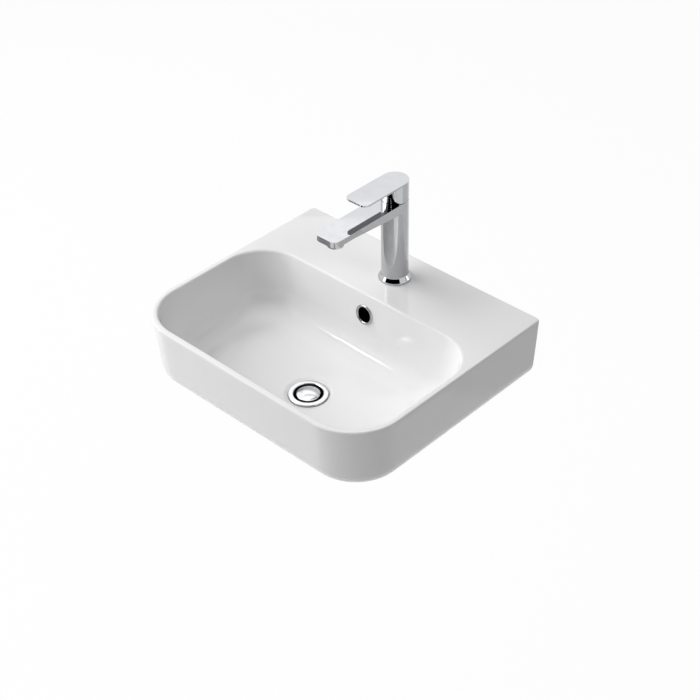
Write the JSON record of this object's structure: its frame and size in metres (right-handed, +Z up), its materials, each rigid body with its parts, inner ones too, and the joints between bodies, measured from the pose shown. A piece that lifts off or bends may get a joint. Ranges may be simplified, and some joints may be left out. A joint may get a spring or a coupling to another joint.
{
  "type": "wall-hung basin",
  "caption": "White wall-hung basin with a rounded front, a rear tap deck, a chrome single-lever mixer, an overflow and a click waste",
  "frame": {"origin": "midway between the two wall studs, on the wall's face", "axes": "+Z up, +Y into the wall along the studs, +X across the basin, to the right when facing the wall"},
  "size_m": [0.5, 0.4199, 0.3895],
  "materials": {
    "glazed_ceramic": "gloss",
    "chrome": "polished",
    "black_rubber": "matte",
    "white_plastic": "matte",
    "grey_plastic": "gloss",
    "disc_ceramic": "satin",
    "plain_steel": "brushed",
    "brass": "satin"
  },
  "bodies": {
    "fixed": {"basin_body": "glazed_ceramic", "overflow_ring": "chrome", "mixer_body": "chrome", "base_ring": "chrome", "base_gasket": "black_rubber", "aerator_housing": "chrome", "aerator_insert": "white_plastic", "aerator_seal": "black_rubber", "cartridge_base": "white_plastic", "port_seals": "black_rubber", "fixed_disc": "disc_ceramic", "cartridge_housing": "white_plastic", "cartridge_nut": "brass", "fixing_stud": "brass", "rubber_horseshoe": "black_rubber", "steel_horseshoe": "plain_steel", "fixing_nut": "brass", "waste_body": "chrome", "flange_seal": "black_rubber", "tail_seal": "black_rubber", "tail_washer": "white_plastic", "tail_nut": "brass", "click_housing": "white_plastic", "click_spring": "plain_steel"},
    "spindle": {"spindle_guide": "white_plastic", "lever_pin": "plain_steel"},
    "lever": {"lever_handle": "chrome", "lever_stem": "brass", "grub_screw": "plain_steel", "screw_cover": "grey_plastic"},
    "disc": {"moving_disc": "disc_ceramic", "disc_carrier": "white_plastic"},
    "plug": {"plug_cap": "chrome", "plug_seal": "black_rubber", "plug_stem": "plain_steel", "click_plunger": "white_plastic"}
  },
  "joints": [
    {"name": "handle_turn", "type": "hinge", "parent": "fixed", "child": "spindle", "pos_m": [0, -0.063, 0.224], "axis": [0, 0, 1], "range_deg": [-50, 50]},
    {"name": "handle_lift", "type": "hinge", "parent": "spindle", "child": "lever", "pos_m": [0, -0.06, 0.224], "axis": [-1, 0, 0], "range_deg": [0, 18]},
    {"name": "disc_slide", "type": "slide", "parent": "spindle", "child": "disc", "axis": [0, -1, 0], "range_m": [0, 0.00435]},
    {"name": "plug_press", "type": "slide", "parent": "fixed", "child": "plug", "axis": [0, 0, 1], "range_m": [-0.006, 0], "stiffness_N_per_m": 400, "springref_m": 0.004, "deforming": ["click_spring"]}
  ],
  "couplings": [
    {"joint": "disc_slide", "follows": "handle_lift", "m_per_rad": 0.013771}
  ]
}
